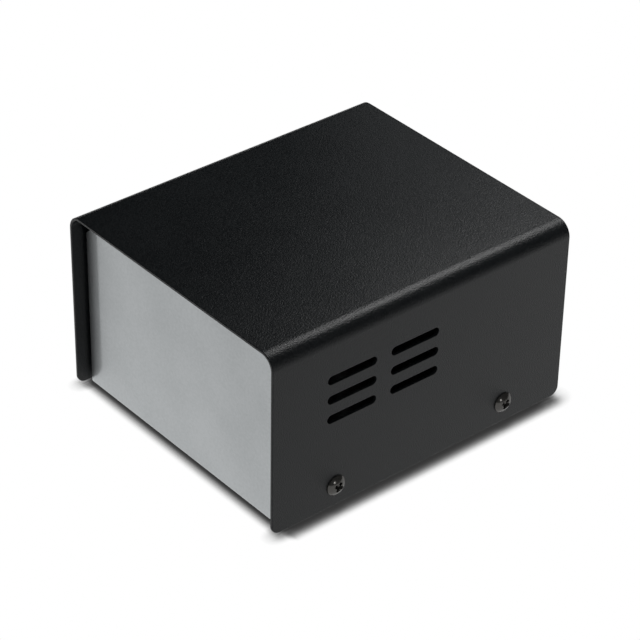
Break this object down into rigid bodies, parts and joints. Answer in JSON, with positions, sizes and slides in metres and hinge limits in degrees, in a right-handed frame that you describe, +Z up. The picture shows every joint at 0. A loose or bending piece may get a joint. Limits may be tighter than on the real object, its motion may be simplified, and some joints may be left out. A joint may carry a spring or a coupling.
{
  "type": "metal project enclosure",
  "caption": "Two-piece folded sheet-metal instrument case: a black cover with side vents screwed over a bare metal chassis with blank front and rear panels.",
  "frame": {"origin": "centre of the underside, on the table", "axes": "+Z up, -Y out of the front panel, +X to the right wall as seen from the front"},
  "size_m": [0.1038, 0.117, 0.065],
  "materials": {
    "cover_coat": "fine-textured satin black powder coat on steel",
    "chassis_sheet": "satin silver-grey, fine grain",
    "screw_plating": "dark polished nickel plate",
    "nut_plating": "zinc plate"
  },
  "bodies": {
    "root": {"cover": "cover_coat", "chassis": "chassis_sheet", "screw_right_front": "screw_plating", "screw_right_rear": "screw_plating", "screw_left_front": "screw_plating", "screw_left_rear": "screw_plating", "press_nut_right_front": "nut_plating", "press_nut_right_rear": "nut_plating", "press_nut_left_front": "nut_plating", "press_nut_left_rear": "nut_plating"}
  },
  "joints": []
}
